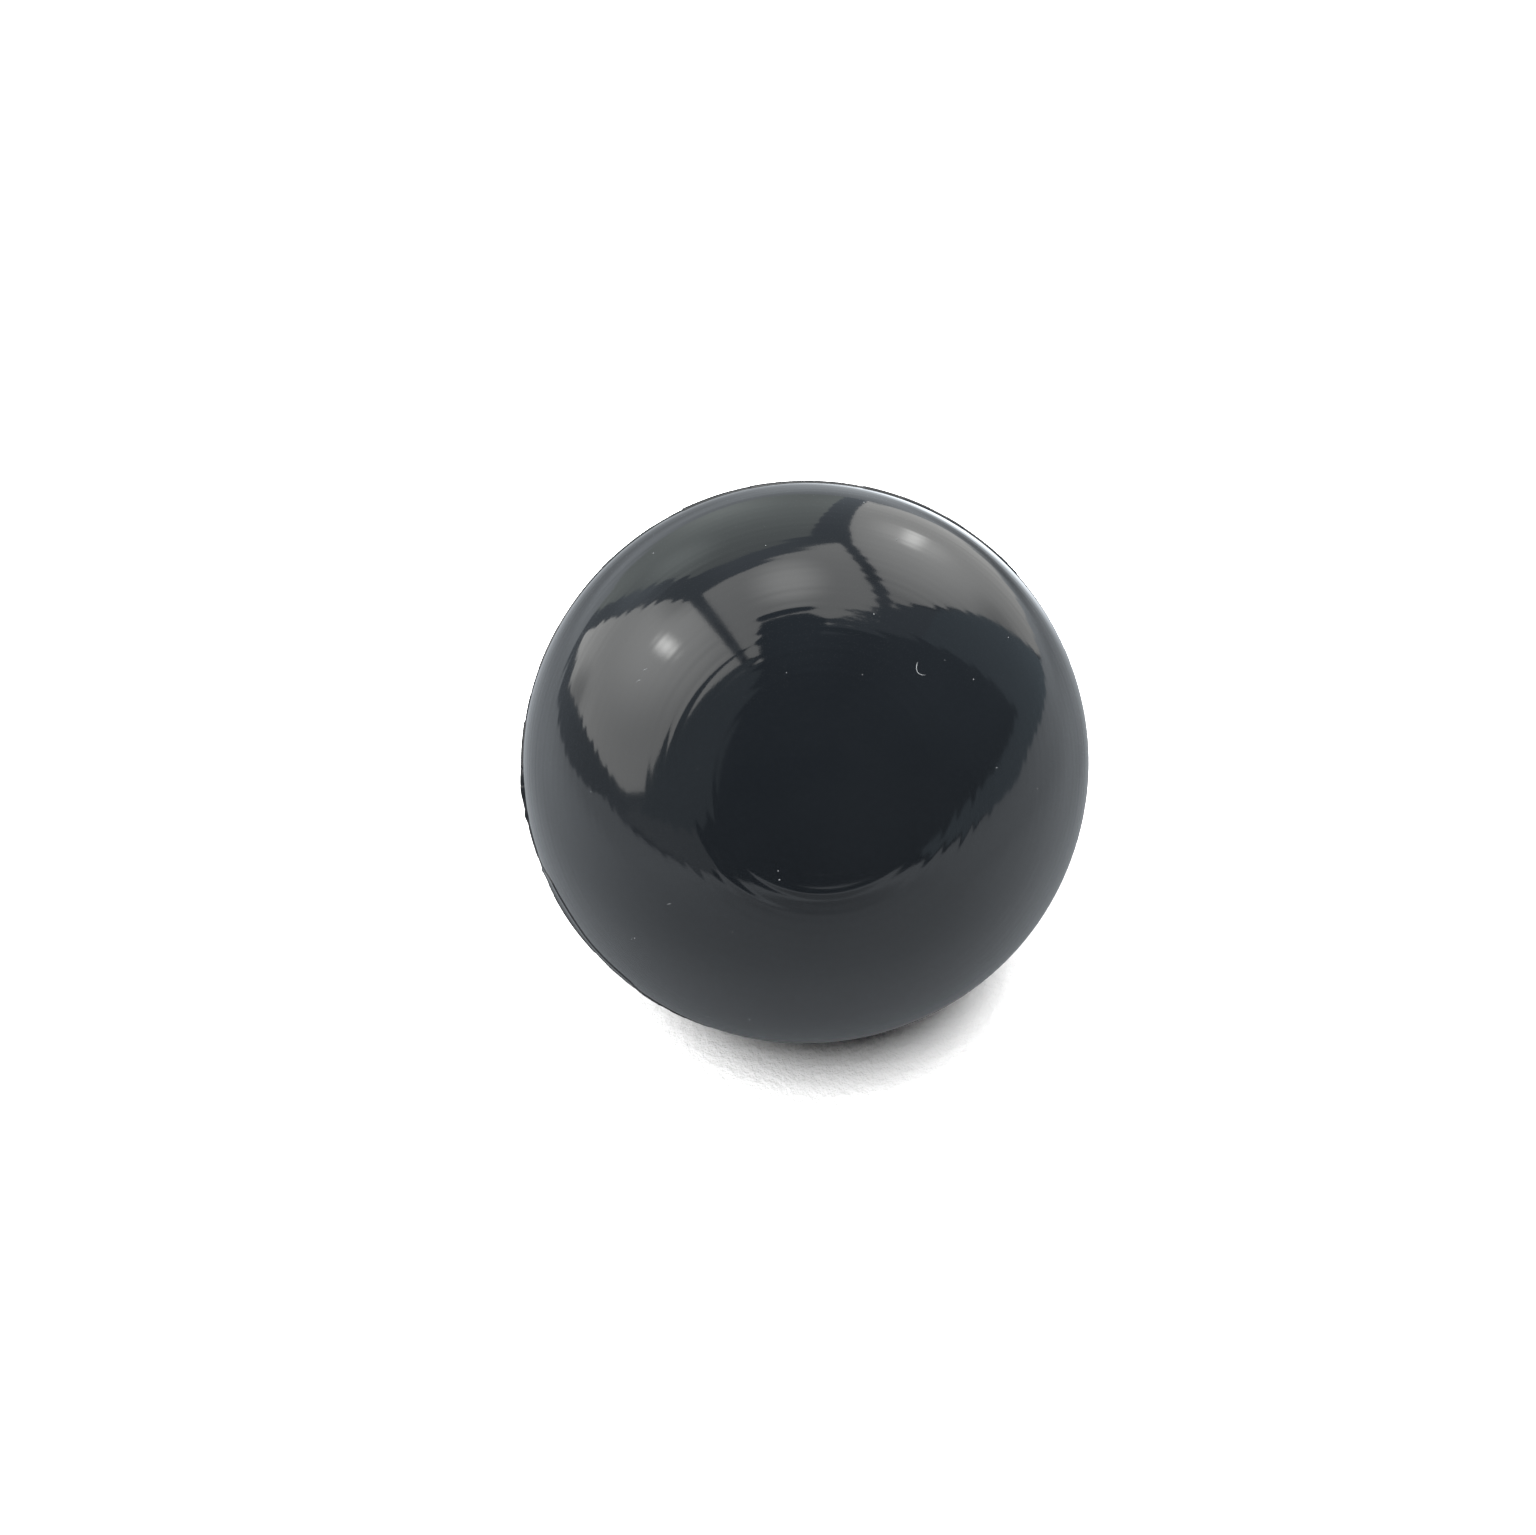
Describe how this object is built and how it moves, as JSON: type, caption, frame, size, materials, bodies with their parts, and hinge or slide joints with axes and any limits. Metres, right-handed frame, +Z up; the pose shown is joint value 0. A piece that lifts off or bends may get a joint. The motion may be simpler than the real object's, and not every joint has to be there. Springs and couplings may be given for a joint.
{
  "type": "case opening friction ball",
  "caption": "Hollow ball of glossy black tacky rubber, pressed on a screwed watch case back and turned by hand; bonded half shells with a flush needle valve at the rear pole.",
  "frame": {"origin": "centre of the ball", "axes": "+Z is up as the ball lies. The moulding axis leans 44 degrees from +Z in the YZ plane, with the front pole up and towards -Y and the needle valve down and towards +Y. +X lies along the plane of the seam"},
  "size_m": [0.0654, 0.065, 0.065],
  "materials": {
    "shell_rubber": "glossy, tacky, lightly ringed by the mould",
    "seam_rubber": "trimmed by hand, half gloss",
    "valve_rubber": "half gloss",
    "core_rubber": "soft, matt"
  },
  "bodies": {
    "root": {"front_shell": "shell_rubber", "rear_shell": "shell_rubber", "seam_gum": "seam_rubber", "valve_boot": "valve_rubber", "valve_core": "core_rubber"}
  },
  "joints": []
}
